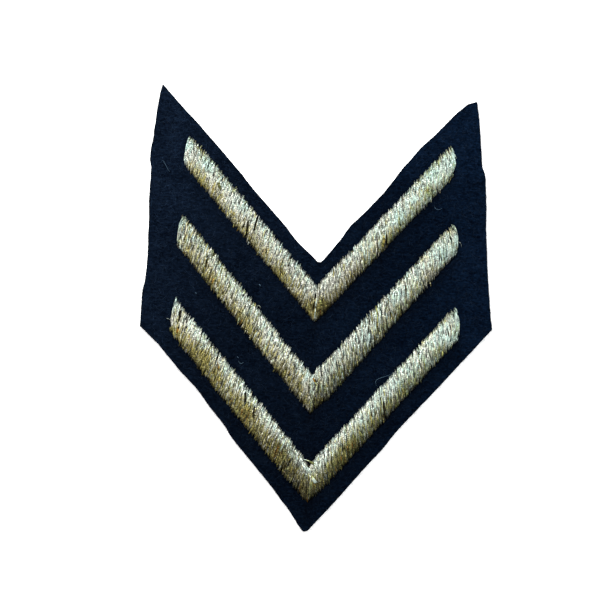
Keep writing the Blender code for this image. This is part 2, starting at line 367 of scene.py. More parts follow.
threadLook = {
    "silver": (0.76, 0.77, 0.69), "olive": (0.47, 0.42, 0.14), "amber": (0.6, 0.28, 0.04),
    "coolReflection": (0.78, 1, 1.04),  # painted reflection: what is left of a colour where the thread mirrors a cooler light
    "brightest": 1.11,  # so that no foil gives back more light than it gets
    "roughness": 0.36, "metal": 0.75,
    "twistPitch": 0.42,  # millimetres for one turn of the foil
    "foilDepth": 0.000022,
    "grooveLight": 0.6,  # painted shade: how bright the foil's grooves are, beside its back
    "blotchScale": 900, "grainScale": 2700,
    "grainStretch": (1.5, 0.55, 1),  # finer across the threads than along them
    "grain": 2.8,
    "glints": 2.2,  # painted glints: bright dashes for each millimetre of thread
    "glintDark": 0.28,
    "glintLight": 1.28,  # how much brighter a dash is than the dark between
}


# Metal foil wound round a thread. The tint holds brightness, which carries painted light and shade, gold,
# and painted reflection of a cooler light.
def threadFinish(name):
    look = threadLook
    finish = Finish(name, Metallic=look["metal"], IOR=1.5)
    bright, gold, coolReflection = finish.parts(finish.attribute("threadTint"))
    around, along, _ = finish.parts(finish.node("ShaderNodeUVMap", {"uv_map": "threadLay"}), "XYZ")
    winding = (along * (1 / look["twistPitch"]) + around).fraction()
    ridge = 1 - (winding * 2 - 1).size()  # 0 in the groove, 1 on the foil's back
    glintAt = finish.node("ShaderNodeCombineXYZ", {}, {0: along * look["glints"], 1: bright * 37})
    glint = finish.cloudy(1, detail=1, where=glintAt)
    blotches = finish.cloudy(look["blotchScale"], detail=3, roughness=0.6)
    fine = finish.cloudy(look["grainScale"], where=finish.stretched((0, 0, 0), look["grainStretch"]))
    amber = blotches.eased(0.6, 0.78).atLeast(gold.eased(1.4, 1.9))
    goldish = finish.mixed(amber, look["olive"], look["amber"])
    goldShare = gold + (blotches - 0.5) * 0.5 + (fine - 0.5) * 0.6
    colour = finish.mixed(goldShare.eased(0, 1), look["silver"], goldish)
    cool = finish.mixed(coolReflection.eased(0, 1), (1, 1, 1), look["coolReflection"])
    # Painted light: the tint's brightness, painted shade in the foil's grooves, a random grain, and painted
    # glints along the thread.
    paintedLightAndTone = bright * (look["grooveLight"] + ridge.eased(0, 0.6) * (1 - look["grooveLight"]))
    paintedLightAndTone = paintedLightAndTone * ((fine - 0.5) * look["grain"] + 1)
    paintedLightAndTone = paintedLightAndTone * (look["glintDark"] + glint.eased(0.38, 0.62) * look["glintLight"])
    finish.wear(
        Base_Color=finish.times(finish.times(colour, cool), paintedLightAndTone.atMost(look["brightest"])),
        Roughness=look["roughness"] + (1 - ridge) * 0.22 + (fine - 0.5) * 0.3,
        Normal=finish.bump(ridge.eased(0, 0.8) + fine * 0.5, look["foilDepth"]),
    )
    return finish


feltLook = {
    "dark": (0.0006, 0.0014, 0.0036), "blue": (0.0026, 0.0054, 0.0124), "pale": (0.0056, 0.0116, 0.0252),
    "sheen": (0.35, 0.55, 1, 1), "cloudScale": 170, "lintScale": 2100, "strandScale": 3400,
    "strandWays": ((0.5, 0), (1.7, 0.31), (2.6, 0.77)),  # how each layer is turned, and moved
    "strandStretch": (0.22, 1, 1),  # smaller is longer
    "fibreDepth": 0.00012,
}


# Matted wool: fine fibres lying every way, over soft darker and lighter clouds, times the felt's painted
# light and shade.
def feltFinish(name):
    look = feltLook
    finish = Finish(
        name,
        Roughness=0.95, Specular_IOR_Level=0,
        Sheen_Weight=0.009, Sheen_Roughness=0.5, Sheen_Tint=look["sheen"],
    )
    clouds = finish.cloudy(look["cloudScale"], detail=3, roughness=0.6)
    lint = finish.cloudy(look["lintScale"], detail=4, roughness=0.7)
    strands = None
    for turn, offset in look["strandWays"]:
        way = finish.stretched((0, 0, turn), look["strandStretch"], (offset, offset, 0))
        strand = finish.cloudy(look["strandScale"], roughness=0.6, distortion=0.6, where=way)
        strands = strand if strands is None else strands.atLeast(strand)
    shade = (clouds - 0.5) * 0.6 + (lint - 0.5) * 1.9 + strands.eased(0.45, 0.85) + 0.17
    colour = finish.ramp(shade, [(0, look["dark"]), (0.45, look["blue"]), (1, look["pale"])])
    finish.wear(
        Base_Color=finish.times(colour, finish.attribute("feltTone")),
        Normal=finish.bump(strands + lint * 0.7, look["fibreDepth"]),
    )
    return finish


# Single fibres, each with a tone of its own, times the painted light and shade that their tint carries.
def fibreFinish(name, colour, roughness):
    finish = Finish(name, Roughness=roughness, Specular_IOR_Level=0.05)
    bright, _, _ = finish.parts(finish.attribute("threadTint"))
    finish.wear(Base_Color=finish.times(colour, bright * (0.6 + finish.cloudy(2600) * 0.8)))
    return finish


padding = {
    "stops": [(0.3, (0.002, 0.002, 0.001)), (0.55, (0.014, 0.012, 0.007)), (0.8, (0.06, 0.053, 0.026))],
    "rows": 3600, "rowStretch": (1, 0.12, 1), "rowTurn": (0, 0, 0.1), "rowDepth": 0.00015,
    "drawnIn": 0.00045, "base": 0.00115, "smooth": 0.4,
    "heightShare": 0.66,  # of the solid's height
}


# The padding stitches below, seen only in the gaps: dark gold, painted darker still as the shade in the
# gaps.
def underlayFinish(name):
    look = padding
    finish = Finish(name, Metallic=0.2, Roughness=0.8, Specular_IOR_Level=0.03)
    rows = finish.cloudy(look["rows"], where=finish.stretched(look["rowTurn"], look["rowStretch"]))
    finish.wear(Base_Color=finish.ramp(rows, look["stops"]), Normal=finish.bump(rows, look["rowDepth"]))
    return finish


threadMetal = threadFinish("silver_gold_thread")
navyFelt = feltFinish("navy_wool_felt")
navyFibre = fibreFinish("navy_wool_fibre", (0.02, 0.04, 0.08), 0.85)
paleLint = fibreFinish("pale_lint", (0.1, 0.17, 0.24), 0.8)
underStitch = underlayFinish("padding_stitches_in_painted_shade")
print("finishes made")


felt = {
    "thickness": 0.0016,
    "dip": 0.00042,  # how far the stitching pulls it down
    "dipFrom": -0.0003,
    "dipRun": 0.0017,  # how far out from a bar that shows
    "gridStep": 0.0008, "edgeStep": 0.0005, "edgeFray": 0.00005, "frayScale": 900, "wallScale": 2600,
    "rimRound": 0.00016,
    # steps down the cut edge: how far out, and how much of the rounding and of the rest is done
    "wall": (
        (0.35, 0.08, 0), (0.75, 0.3, 0), (1, 0.7, 0), (1, 1, 0.25), (1, 1, 0.5), (1, 1, 0.75), (1, 1, 1),
    ),
    "topFrom": 0.0013,  # every point of the face is above this
    "wave": 0.00004, "waves": 150, "flatArea": 0.00553,
}


everyArm = [(bar, side) for bar in bars.values() for side in (-1, 1)]


# How far places are below and above an arm, past its end, and out from the bar's point.
def besideArm(bar, side, x, y):
    pointX, pointY = barPoint(bar)
    depthShare, sagShare, _, tilt, _ = arm(bar, side)
    angle = math.radians(stitching["armAngle"] + tilt)
    across = side * (x - pointX)
    low = pointY + math.tan(angle) * across - sagShare * stitching["barDepth"] * 0.5
    depth = depthShare * stitching["barDepth"] * (1 + sagShare * 0.5)
    below, above = (low - y) * math.cos(angle), (y - low - depth) * math.cos(angle)
    return below, above, across - armRun(bar, side), across


# How far a place is outside the nearest bar, in metres; below 0 under one.
def outsideBars(x, y):
    nearest = np.full(x.shape, 1)
    for bar, side in everyArm:
        below, above, beyond, across = besideArm(bar, side, x, y)
        away = np.maximum(np.maximum(below, above), np.maximum(beyond, -across - 0.001))
        nearest = np.minimum(nearest, away)
    return nearest


# Painted light and shade on the felt: how bright it is, beside its upper left corner, and how much bluer.
# Each of its regions starts at a place in metres and is at its full strength some way further out or up.
feltPaintedLights = {
    "middle": 0.63, "top": 0.14, "topUp": (-0.01, 0.04), "topRight": (0, 0.012), "left": 0.22,
    "leftOut": (0.022, 0.016), "leftUp": (-0.018, 0.01), "leftTip": 0.08, "right": 0.22,
    "rightOut": (0.02, 0.022), "rightUp": (-0.012, 0.01), "rightTip": 0.38, "tipOut": (0.01, 0.014),
    "tipUp": (0.03, 0.008), "bottom": -0.12, "bottomDown": (0.016, 0.02), "cool": (-0.28, 0, 0.18),
    "coolRight": (-0.03, 0.072),
    "belowBar": {-1: 0.12, 1: 0.34},  # painted shadow: how much darker it is just below an arm
    "belowRun": 0.002,
    "belowEnd": 0.002,  # how softly that stops at the arm's ends
    "belowColour": (0.5, 1, 1.2),
}


def feltTone(x, y):
    f = feltPaintedLights
    high = rising(y, *f["topUp"])
    right = rising(x, *f["rightOut"]) * rising(y, *f["rightUp"])
    tip = rising(x, *f["tipOut"]) * rising(y, *f["tipUp"])
    tone = f["middle"] + f["top"] * high * (1 - rising(x, *f["topRight"]))
    tone = tone + rising(-x, *f["leftOut"]) * (f["left"] * rising(y, *f["leftUp"]) + f["leftTip"] * high)
    tone = tone + np.maximum(f["right"] * right, f["rightTip"] * tip)
    tone = tone + f["bottom"] * rising(-y, *f["bottomDown"])
    shaded = np.zeros(x.shape)
    for bar, side in everyArm:
        below, _, beyond, across = besideArm(bar, side, x, y)
        here = f["belowBar"][side] * hill(np.maximum(below, 0) / f["belowRun"])
        here = here * (below > -0.0005) * eased(across / f["belowEnd"] + 1)
        shaded = np.maximum(shaded, here * eased(1 - beyond / f["belowEnd"]))
    cool = rising(x, *f["coolRight"])[..., None] * np.array(f["cool"])
    return tone[..., None] * (1 + cool) * (1 - shaded[..., None] * np.array(f["belowColour"]))


# Height of the felt's face there.
def feltTop(x, y):
    pulled = 1 - rising(outsideBars(x, y), felt["dipFrom"], felt["dipRun"])
    spots = zip(x.ravel() * felt["waves"], y.ravel() * felt["waves"])
    wave = np.array([noise.noise(Vector((a, b, 0.3))) for a, b in spots]).reshape(x.shape)
    return felt["thickness"] - felt["dip"] * pulled + felt["wave"] * (wave - 0.6)


def cutThrough(bm, place, normal, **clear):
    everything = bm.verts[:] + bm.edges[:] + bm.faces[:]
    bmesh.ops.bisect_plane(bm, geom=everything, dist=1e-7, plane_co=place, plane_no=normal, **clear)


# The felt's outline as one face, a little inside its cut edge, and the way out at each of its points.
def feltOutline(bm):
    up = Vector((0, 0, 1))
    cutThrough(bm, up * felt["thickness"] / 2, up, clear_inner=True, clear_outer=True)
    bmesh.ops.remove_doubles(bm, verts=bm.verts[:], dist=1e-5)
    for edge in bm.edges[:]:
        cuts = int(edge.calc_length() / felt["edgeStep"])
        if cuts:
            bmesh.ops.subdivide_edges(bm, edges=[edge], cuts=cuts)
    for vert in bm.verts:
        vert.co.z = felt["thickness"]
        vert.co += noise.noise_vector(vert.co * felt["frayScale"]) * felt["edgeFray"]
        vert.co.z = felt["thickness"]
    face = bmesh.ops.contextual_create(bm, geom=bm.edges[:])["faces"][0]
    if face.normal.z < 0:
        face.normal_flip()
    outward = {}
    for loop in face.loops:
        before, here, after = loop.link_loop_prev.vert.co, loop.vert.co, loop.link_loop_next.vert.co
        way = (here - before).normalized() + (after - here).normalized()
        outward[loop.vert] = Vector((way.y, -way.x, 0)).normalized()
    for vert, way in outward.items():
        vert.co -= way * felt["rimRound"]
    return face, outward


def makeFelt():
    bm = openMesh(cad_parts["felt_backing"].data, join=True)
    face, outward = feltOutline(bm)
    bmesh.ops.triangulate(bm, faces=[face])
    for axis in (0, 1):
        normal = Vector((1 - axis, axis, 0))
        start, end = cadBox[0][axis], cadBox[1][axis]
        steps = int((end - start) / felt["gridStep"])
        for i in range(1, steps):
            cutThrough(bm, normal * (start + (end - start) * i / steps), normal)
    rim = [edge for edge in bm.edges if edge.is_boundary]
    for _ in range(3):  # points that the grid added to the edge
        for vert in [vert for edge in rim for vert in edge.verts if vert not in outward]:
            near = [edge.other_vert(vert) for edge in vert.link_edges if edge.is_boundary]
            known = [outward[other] for other in near if other in outward]
            if known:
                outward[vert] = sum(known, Vector()).normalized()
    places = {vert: vert.co.copy() for edge in rim for vert in edge.verts}
    for step, (out, rounded, down) in enumerate(felt["wall"]):
        grown = bmesh.ops.extrude_edge_only(bm, edges=rim)["geom"]
        rim = [part for part in grown if isinstance(part, bmesh.types.BMEdge) and part.is_boundary]
        parents = {}
        for vert in grown:
            if isinstance(vert, bmesh.types.BMVert):
                near = [edge.other_vert(vert) for edge in vert.link_edges]
                parents[vert] = next(other for other in near if other in places)
        places = {vert: places[parent] for vert, parent in parents.items()}
        outward = {vert: outward.get(parent, Vector()) for vert, parent in parents.items()}
        drop = felt["rimRound"] * rounded + (felt["thickness"] - felt["rimRound"]) * down
        for vert, place in places.items():
            vert.co = place + outward[vert] * felt["rimRound"] * out
            vert.co.z -= drop
            if 0 < step < len(felt["wall"]) - 1:
                stray = noise.noise_vector(vert.co * felt["wallScale"]) * felt["edgeFray"]
                vert.co += Vector((stray.x, stray.y, 0))
    bmesh.ops.contextual_create(bm, geom=rim)
    bmesh.ops.recalc_face_normals(bm, faces=bm.faces[:])
    mesh = closeMesh(bm, "felt_sheet")
    places = numbersOf(mesh.vertices, "co", 3)
    top = places[:, 2] > felt["topFrom"]
    places[top, 2] += feltTop(places[top, 0], places[top, 1]) - felt["thickness"]
    setNumbers(mesh.vertices, "co", places)
    tintPoints(mesh, "feltTone", feltTone(places[:, 0], places[:, 1]))
    mesh.update()
    return addPiece("felt_sheet", mesh)


feltSheet = dress(makeFelt(), navyFelt)
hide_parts("felt_backing")
print("felt sheet:", len(feltSheet.data.polygons), "faces")


fuzz = {
    "count": 6500, "joints": 4, "radius": 0.000018, "taper": (0.5, 1, 1, 0.4),
    "length": (0.0007, 0.0024),
    "bend": 1.1,  # radians
    "lift": 0.00006,
    "clear": 0.0003,  # from the bars
    "lowest": 0.00005, "edgeCount": 900, "edgeReach": 0.00045, "edgeTilt": 0.9,
    "edgeHeight": (0.0002, 0.0015), "edgeLift": 0.00004,
}


# The outline of the felt's underside, in order, as x and y.
def feltRim():
    bm = openMesh(feltSheet.data)
    bottom = min(bm.faces, key=lambda face: face.calc_center_median().z)
    ring = np.array([vert.co[:2] for vert in bottom.verts])
    bm.free()
    return ring


# Which of the points are inside the ring, counted by the edges that lie to their left.
def insideOutline(points, ring):
    x, y = points[:, 0, None], points[:, 1, None]
    ax, ay = ring[:, 0], ring[:, 1]
    bx, by = np.roll(ax, -1), np.roll(ay, -1)
    crosses = (ay > y) != (by > y)
    with np.errstate(divide="ignore", invalid="ignore"):
        at = ax + (y - ay) * (bx - ax) / (by - ay)
    return (crosses & (x < at)).sum(axis=1) % 2 == 1


def makeFuzz():
    rng, joints = np.random.default_rng(23), fuzz["joints"]
    ring = feltRim()
    starts = rng.uniform(ring.min(axis=0), ring.max(axis=0), (fuzz["count"] * 4, 2))
    free = insideOutline(starts, ring)
    free &= outsideBars(starts[:, 0], starts[:, 1]) > fuzz["clear"]
    place = starts[free][: fuzz["count"]]
    heading = rng.uniform(0, math.tau, len(place))
    length = rng.uniform(*fuzz["length"], len(place))
    bend = rng.normal(0, fuzz["bend"], len(place))
    paths = []
    for j in range(joints):
        height = feltTop(place[:, 0], place[:, 1])
        arch = math.sin(math.pi * j / (joints - 1))
        height += fuzz["lift"] * (arch - 0.35) * rng.uniform(0.2, 1.5, len(place))
        paths.append(np.column_stack([place, height]))
        way = heading + bend * j / (joints - 1)
        place = place + np.column_stack([np.cos(way), np.sin(way)]) * (length / (joints - 1))[:, None]
    paths = np.stack(paths, axis=1)
    paths = paths[insideOutline(paths[:, -1, :2], ring)]

    # short ends that stand out of the cut edge
    spot = rng.integers(0, len(ring), fuzz["edgeCount"])
    share = rng.random((len(spot), 1))
    after = np.roll(ring, -1, axis=0)
    start = ring[spot] * (1 - share) + after[spot] * share
    along = unit(after[spot] - ring[spot])
    clockwise = np.sign(np.sum((after[:, 0] - ring[:, 0]) * (after[:, 1] + ring[:, 1])))
    outward = np.column_stack([-along[:, 1], along[:, 0]]) * clockwise
    tilt = rng.normal(0, fuzz["edgeTilt"], (len(spot), 1))
    reach = np.abs(rng.normal(0, 1, (len(spot), 1))) * fuzz["edgeReach"] * 0.6 + 0.0001
    height = rng.uniform(*fuzz["edgeHeight"], len(spot))
    edge = []
    for j in range(joints):
        t = j / (joints - 1)
        flat = start + outward * reach * (t * 1.3 - 0.3) + along * tilt * reach * t * t
        edge.append(np.column_stack([flat, height + rng.normal(0, fuzz["edgeLift"], len(spot)) * t]))
    paths = np.concatenate([paths, np.stack(edge, axis=1)])
    paths[:, :, 2] = np.maximum(paths[:, :, 2], fuzz["lowest"])

    count = len(paths)
    radii = fuzz["radius"] * rng.uniform(0.7, 1.5, (count, 1)) * np.array(fuzz["taper"])
    # The fibres carry the felt's painted light and shade, and a tone of their own.
    tints = feltTone(paths[:, :, 0], paths[:, :, 1]) * rng.uniform(0.12, 1.1, (count, 1, 1)) ** 1.6
    return layTubes("felt_fuzz", paths, radii, tints, sides=3)


feltFuzz = dress(makeFuzz(), navyFibre)
print("felt fibres:", len(feltFuzz.data.polygons), "faces")


satin = {
    # whole stitches, from foot to head: how far down a layer lies, and its spacing
    "deepLayers": ((0.00038, 0.00026), (0.0002, 0.00026)), "deepJoints": 13,
    # the lengths that come to the top between two crossings
    "floats": 1250, "floatJoints": 6, "floatHalf": (0.0006, 0.0014), "floatSink": 0.00018,
    "floatSpan": (-0.08, 1.16),  # some lie half past the stitch's ends, and are cut short there
    "floatLeast": 0.15,
    "duck": 0.00016,  # how far their ends go under their neighbours
    "duckRun": 0.0006,
    "dive": 0.0005,  # how near its holes in the felt a thread turns down
    "diveTo": 0.001,
    "shortShare": 0.9,  # a thread that covers less of a stitch is a float
    "stitchLength": 0.0068, "slant": 0.06, "radius": 0.000132, "flatness": 0.9,
    "radii": (0.82, 1.12), "diveThin": 0.55, "tailThin": 0.35,  # times the radius, and less at the ends
    "wander": 0.00008, "wanderTurns": (0.5, 1.5),  # sideways
    "ripple": 0.00004, "rippleTurns": (1, 2.5),  # up and down
    "rib": 0.00004, "leanJitter": 0.00025, "headPitch": {-1: 0.0009, 1: 0.00075}, "footPitch": 0.00055,
    "headTooth": 0.00032, "footTooth": 0.00032, "endJitter": 0.00026,
    "tuftWidths": (0.6, 1.4), "tuftLengths": 0.35,
    "tuftPull": 0.55,  # how far a thread is drawn to the middle of its tuft
    "tuftPoint": 1.6,
    "headDraw": (0.82, 0.18),  # shares of a stitch, over which its ends are drawn aside
    "footDraw": (-0.16, 0.16),
    "notchRun": 0.0012,  # the heads are shorter this near a bar's point
    "dullest": {-1: 0.42, 1: 0.58}, "brightest": {-1: 1.52, 1: 1.36},
    "spreadTurn": (0.402, 0.6),  # shares of an arm, where the one spread turns to the other
    "recess": 0.00034,  # how deep a thread lies before its painted shade is darkest
    "recessShade": 0.78, "sideGold": {-1: 1.12, 1: 0.96},
    "endPale": 0.6,  # how much less gold the last stitches of an arm are, and how much more painted cool reflection they get
}

# How gold each bar is: at its foot, at its head, and where the one turns to the other.
# Then how bright it is, and how bright each of its arms is near the point and near the end, all painted
# light and shade, and how much its threads differ there.
goldAndPaintedLight = {
    "lower_stripe": {
        "foot": 0.85, "head": 0.12, "turn": (0.3, 0.8), "bright": 1.13,
        -1: (0.45, 0.95, 0.95, 1.25), 1: (1.01, 1.25, 1.6, 1.05),
    },
    "middle_stripe": {
        "foot": 0.65, "head": 0.18, "turn": (0.15, 0.75), "bright": 1.06,
        -1: (0.9, 0.85, 1.2, 1.4), 1: (0.75, 1, 2.5, 1),
    },
    "upper_stripe": {
        "foot": 0.66, "head": 0.12, "turn": (0.1, 0.65), "bright": 0.95,
        -1: (0.66, 0.92, 1.2, 0.75), 1: (0.64, 0.94, 1.25, 0.35),
    },
}

# What is missing from the corners of each arm's end, at its head and its foot, and how far the end
# bows outwards, in metres. Then how much golder the heads near it are.
ends = {
    "cornerRun": 0.0018, "lower_stripe": {-1: (0, 0.0003, 0.0005, 0), 1: (0.0006, 0, 0.0008, 0.35)},
    "middle_stripe": {-1: (0.0002, 0, 0.0007, 0.3), 1: (0.001, 0, 0.0008, 0.3)},
    "upper_stripe": {-1: (0.0005, 0.0004, 0.0004, 0.4), 1: (0.0004, 0.0008, 0.0008, 0.5)},
}

# Painted light and shade: the feet are painted darker than the heads, more so on the right arms and towards
# the bottom tip. Each change starts at a share of the stitch, counted from its foot, or if negative from
# its head, and has a run.
paintedShade = {
    "foot": {-1: 0.76, 1: 0.39}, "footRun": (0.05, 0.5),
    "middle": 1.15, "middleIn": (0, 0.4), "middleOut": (-0.95, 0.3),
    "head": 1.08, "headRun": (0.5, 0.3),
    "perMetre": 17, "lowRun": (0.3, 0.6),
    "pointRun": (0, 0.009),  # metres from the bar's point, where an arm's brightness near it ends
    "pointHeads": 0.35, "pointRest": (-1, 0.35),
    "endRun": (0.018, 0.012),  # where that near its end begins
    "endHeads": 0.7, "endHeadsRun": (0.7, 0.25), "goldHeads": (0.76, 0.2), "goldDark": 0.6,
}

# How gold the threads are, how much painted reflection of a cooler light they get, and how much that
# differs from one to the next.
tinting = {
    "goldTimes": (0.45, 1.4), "goldPlus": 0.2,
    "gilt": 0.5, "giltShare": 0.05,  # how much golder a few threads are, and how many
    "rightEnd": 0.6,  # how much of an end's paleness the right arms have over a longer run
    "coolReflectionLeft": 0.46, "coolReflectionLeftRun": (0.35, 0.5), "coolReflectionRight": 0.5, "coolReflectionRightHeads": -0.12,
    "coolReflectionTip": 0.22, "coolReflectionTipOut": (0.012, 0.02), "coolReflectionTipUp": (0.01, 0.03), "coolReflectionPlus": 0.28,
}

# Gaps between stitches that show the dark below: x, y of one end and of the other, in millimetres.
slits = {
    "push": 0.00022,  # how far the threads beside one are pushed aside
    "pushRun": 0.00031, "crossing": 0.0005, "width": 0.00012, "depth": 0.00028, "taper": 0.0008,
    "shadeRun": 0.00038,
    "bright": 0.05,  # what the threads deep in one keep of their light
    "lines": (
        (-16.04, 22.93, -16.74, 19.49), (-18.26, 21.77, -18.52, 18.15),
        (-16.71, -21.04, -16.75, -23.59), (-14.36, -24.19, -14.47, -26.93),
        (-34.07, -1.46, -34.15, -3.89), (-28.08, 12.74, -28.18, 9.86),
        (17.79, -21.49, 18.28, -24.65), (18.28, -24.65, 18.74, -25.75), (16.42, 20.12, 16.44, 17.82),
        (0.55, -39.7, 0.7, -40.6), (0.44, -16.74, 0.77, -17.3), (-0.5, 4.6, -0.62, 3.4),
        (-0.8, 2.2, -0.86, 0.6),
    ),
}


# Patches of painted light and shade on the stitching, some golder too: x, y and size in millimetres, how
# many times as bright as the rest, and for some how much golder and how much more painted cool reflection.
paintedLightAndGoldPatches = (
    (-32.7, -6.3, 2.4, 2.1, -0.3), (-32.7, 17.9, 2, 1.95), (31.1, 15.9, 2.2, 1.5, -0.3, 0.4),
    (-12, -8, 2.2, 1.6, -0.3, 0.1), (33.5, -5.6, 1.7, 1.35, -0.3, 0.3), (12.8, -27.8, 2, 1.6, -0.1, 0.2),
    (-16.3, -5.4, 1.9, 1.55), (5.6, -37.8, 2.4, 1.42), (24, -13.8, 2, 1.42, -0.2, 0.1),
    (-21.5, -20.2, 1.9, 1.42, -0.3, 0.1), (12.7, -6, 2.2, 1.42, -0.5, 0.2),
    (-29.2, 35.6, 2.2, 1, -0.1, 0.6), (26.3, 36.4, 1.8, 1, 0, 0.6), (19.8, 24.2, 2, 1, -0.1, 0.4),
    (19.6, -17.6, 2, 1, -0.4, 0.2), (28.6, -11, 2, 1, -0.2, 0.3), (-6.3, -35.2, 2.6, 0.55, 0.4),
    (8.4, 10.4, 2.6, 0.76, 0, -0.7), (-15.2, 16.7, 1.8, 0.7), (26.2, 31.4, 1.8, 0.68, 0.6),
    (27.2, 11, 2, 0.74, 0, -0.4), (18.2, 19.7, 1.5, 0.74, 0.1), (-18.6, -1.9, 1.8, 0.72, 0.3, -0.1),
    (10, -33.1, 1.9, 0.74, 0.7), (-15.4, -25.3, 1.9, 0.84, 0.6, -0.3), (-9.5, 8.8, 2, 0.95, 0.5),
    (-26.6, -12.4, 2, 0.9, 0.4, -0.2), (4, 5, 4, 1.06, 0, -0.5), (-26.9, 6.9, 1.8, 1, 0.4),
    (-8.3, -15, 1.8, 1, 0.3), (32.9, 21.9, 1.2, 0.85, 0.3, -0.4), (-24.9, 4.7, 1.7, 1.45, -0.1),
    (16.4, -21.4, 2.2, 1.42, -0.2, 0.1), (-30.1, 12.3, 2, 1.3), (22.7, -18, 2, 1.32, 0, 0.1),
    (24.7, 7.6, 1.8, 1.28), (-22.2, 25.6, 2, 1.25, -0.5, 0.3), (-8.8, -32.4, 1.8, 0.62),
    (-4.2, -38.6, 1.8, 0.74), (-3.7, 2.8, 1.6, 0.78), (6.6, -12.2, 1.8, 0.8), (8.4, -36.6, 1.8, 1, 0.5),
    (0.8, 0.6, 3, 0.88, 0.8, -0.6), (2.2, -23.4, 2.2, 1, 0.4, -0.2), (18.3, 1.8, 1.5, 0.9, 0, -0.3),
    (-11.2, -12.6, 1.8, 1.55, -0.3, 0.1), (13.1, 17.4, 2.2, 1.35, 0, -0.2), (-24.8, -15.6, 1.8, 1.3),
    (20.6, 5.2, 1.6, 1.25, -0.3, 0.2), (-12.9, -31.9, 1.8, 0.82), (1.4, -42.4, 2.2, 0.95, 0.4, -0.2),
    (-0.5, -1.6, 1.3, 2.1, -0.3, 0.2), (27.2, 30.1, 2.4, 1.45, -0.2, 0.2),
    (32.9, -3.9, 1.8, 1.5, -0.2, 0.2), (9.1, -8.3, 1.9, 1.4), (19.9, 1, 1.9, 0.72), (-1.3, 1.6, 1.4, 1.3),
    (-20.5, 4.1, 1.8, 1.3), (-17.3, -24.2, 1.7, 1.3), (23.8, 8, 1.6, 1.25),
    (-35.5, -2.6, 2, 1.25, 0.1, -0.5), (-35.9, -6.4, 1, 1.7, 0.9, -0.3), (30.6, -5.9, 1.6, 1.12, -0.3, 0.3),
    (-33.4, 36.6, 1.6, 0.78, -0.2, 0.1), (-34.5, 19.3, 1.3, 0.88, 0.1, -0.2),
    (-35.9, -4.2, 1.4, 1.45, -0.4, -0.2),
)


# Neighbouring threads share needle holes, so their ends draw together to points.
def tufts(across, last, pitch, tooth, rng):
    first = rng.uniform(0, pitch)
    steps = pitch * rng.uniform(*satin["tuftWidths"], int(2 * last / pitch) + 8)
    edges = np.cumsum(np.append(-first, steps))
    which = np.clip(np.searchsorted(edges, across) - 1, 0, len(edges) - 2)
    middle, half = (edges[which] + edges[which + 1]) / 2, (edges[which + 1] - edges[which]) / 2
    share = (across - middle) / half
    reach = tooth * np.exp(rng.normal(0, satin["tuftLengths"], len(edges)))[which]
    return -share * half * satin["tuftPull"], reach * (1 - satin["tuftPoint"] * np.abs(share)), share


# A slow wave along each thread, of so many turns.
def sway(t, turns, height, rng):
    turn = rng.uniform(*turns, (len(t), 1)) * t + rng.random((len(t), 1))
    return rng.normal(0, height, (len(t), 1)) * np.sin(math.tau * turn)


# Where threads are with the slits pushed open, how deep in a slit that is, and in its shade.
def pushedAside(plan):
    gap, shade = np.zeros(plan.shape[:2]), np.zeros(plan.shape[:2])
    for x0, y0, x1, y1 in slits["lines"]:
        start, stop = np.array([x0, y0]) / 1000, np.array([x1, y1]) / 1000
        span, line = np.linalg.norm(stop - start), unit(stop - start)
        aside = np.array([line[1], -line[0]])
        along, off = (plan - start) @ line, (plan - start) @ aside
        window = eased(along / slits["taper"] + 0.75) * eased((span - along) / slits["taper"] + 0.75)
        ownSide = np.where((off * window).sum(axis=1, keepdims=True) >= 0, 1, -1)
        clear = off * ownSide  # below 0 where a thread crosses over
        push = slits["push"] * hill(np.maximum(clear, 0) / slits["pushRun"])
        push = push + np.maximum(-clear, 0) * (clear > -slits["crossing"])
        plan = plan + (push * ownSide * window)[..., None] * aside
        gap = np.maximum(gap, window * hill(off / slits["width"]))
        shade = np.maximum(shade, window * hill(off / slits["shadeRun"]))
    return plan, gap, shade


def cornerShare(bar, side, across):  # 0, but up to 1 at the arm's end
    return eased(1 - (armRun(bar, side) - across) / ends["cornerRun"])


